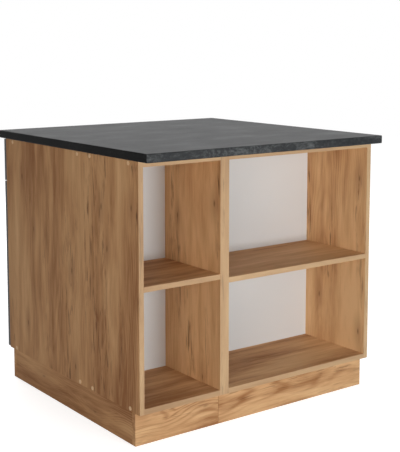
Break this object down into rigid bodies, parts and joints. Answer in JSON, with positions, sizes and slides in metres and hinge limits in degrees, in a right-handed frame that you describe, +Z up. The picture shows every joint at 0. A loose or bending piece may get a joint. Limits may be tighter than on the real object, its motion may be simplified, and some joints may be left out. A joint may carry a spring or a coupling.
{
  "type": "kitchen island",
  "caption": "Kitchen island of back-to-back base units under one worktop: open shelves on one long side, doors and a drawer on the other, on a plinth.",
  "frame": {"origin": "centre of the island's footprint, on the floor", "axes": "+Z up, -Y towards the doors, +Y towards the open shelves, +X towards the drawer cabinet's end"},
  "size_m": [0.904, 0.91, 0.846],
  "materials": {
    "oak_melamine": "oak-look melamine on chipboard with matching edge band, soft sheen",
    "slate_laminate": "dark slate-look laminate on chipboard, matt",
    "graphite_front": "graphite film on milled board, matt",
    "back_board": "white painted thin board",
    "drawer_board": "pale grey melamine, matt",
    "black_handle": "black powder coat, satin",
    "black_plastic": "moulded, matt",
    "cap_plastic": "moulded, matt",
    "zinc_steel": "bright zinc plated",
    "yellow_zinc": "yellow zinc plated"
  },
  "bodies": {
    "island": {"worktop": "slate_laminate", "narrow_open_outer_side": "oak_melamine", "narrow_open_inner_side": "oak_melamine", "narrow_open_bottom": "oak_melamine", "narrow_open_top": "oak_melamine", "narrow_open_shelf": "oak_melamine", "narrow_open_back": "back_board", "wide_open_outer_side": "oak_melamine", "wide_open_inner_side": "oak_melamine", "wide_open_bottom": "oak_melamine", "wide_open_top": "oak_melamine", "wide_open_shelf": "oak_melamine", "wide_open_back": "back_board", "single_cabinet_outer_side": "oak_melamine", "single_cabinet_inner_side": "oak_melamine", "single_cabinet_bottom": "oak_melamine", "single_cabinet_rails": "oak_melamine", "single_cabinet_shelf": "oak_melamine", "single_cabinet_back": "back_board", "drawer_cabinet_outer_side": "oak_melamine", "drawer_cabinet_inner_side": "oak_melamine", "drawer_cabinet_bottom": "oak_melamine", "drawer_cabinet_rails": "oak_melamine", "drawer_cabinet_shelf": "oak_melamine", "drawer_cabinet_back": "back_board", "plinth_narrow_boards": "oak_melamine", "plinth_wide_boards": "oak_melamine", "plinth_end_boards": "oak_melamine", "leg_tubes": "black_plastic", "leg_feet": "black_plastic", "plinth_clips": "black_plastic", "shelf_pins": "zinc_steel", "carcass_screws": "yellow_zinc", "screw_caps": "cap_plastic", "unit_connectors": "zinc_steel", "worktop_screws": "yellow_zinc", "hinge_plates": "zinc_steel", "hinge_arms": "zinc_steel", "runner_case_members": "zinc_steel"},
    "single_door_leaf": {"single_door": "graphite_front", "single_door_handle": "black_handle", "single_door_handle_screws": "zinc_steel", "single_door_hinge_cups": "zinc_steel"},
    "left_door_leaf": {"left_door": "graphite_front", "left_door_handle": "black_handle", "left_door_handle_screws": "zinc_steel", "left_door_hinge_cups": "zinc_steel"},
    "right_door_leaf": {"right_door": "graphite_front", "right_door_handle": "black_handle", "right_door_handle_screws": "zinc_steel", "right_door_hinge_cups": "zinc_steel"},
    "drawer": {"drawer_front": "graphite_front", "drawer_handle": "black_handle", "drawer_handle_screws": "zinc_steel", "drawer_sides": "drawer_board", "drawer_ends": "drawer_board", "drawer_base": "back_board", "runner_drawer_members": "zinc_steel"},
    "runner_middle": {"runner_middle_members": "zinc_steel", "runner_ball_cages": "zinc_steel"}
  },
  "joints": [
    {"name": "single_door_hinge", "type": "hinge", "parent": "island", "child": "single_door_leaf", "pos_m": [-0.44174, -0.419, 0.46], "axis": [0, 0, -1], "range_deg": [0, 95]},
    {"name": "left_door_hinge", "type": "hinge", "parent": "island", "child": "left_door_leaf", "pos_m": [-0.14174, -0.419, 0.388], "axis": [0, 0, -1], "range_deg": [0, 95]},
    {"name": "right_door_hinge", "type": "hinge", "parent": "island", "child": "right_door_leaf", "pos_m": [0.44174, -0.419, 0.388], "axis": [0, 0, 1], "range_deg": [0, 95]},
    {"name": "drawer_slide", "type": "slide", "parent": "island", "child": "drawer", "axis": [0, -1, 0], "range_m": [0, 0.45]},
    {"name": "runner_middle_slide", "type": "slide", "parent": "island", "child": "runner_middle", "axis": [0, -1, 0], "range_m": [0, 0.225]}
  ],
  "couplings": [
    {"joint": "runner_middle_slide", "follows": "drawer_slide", "ratio": 0.5}
  ]
}
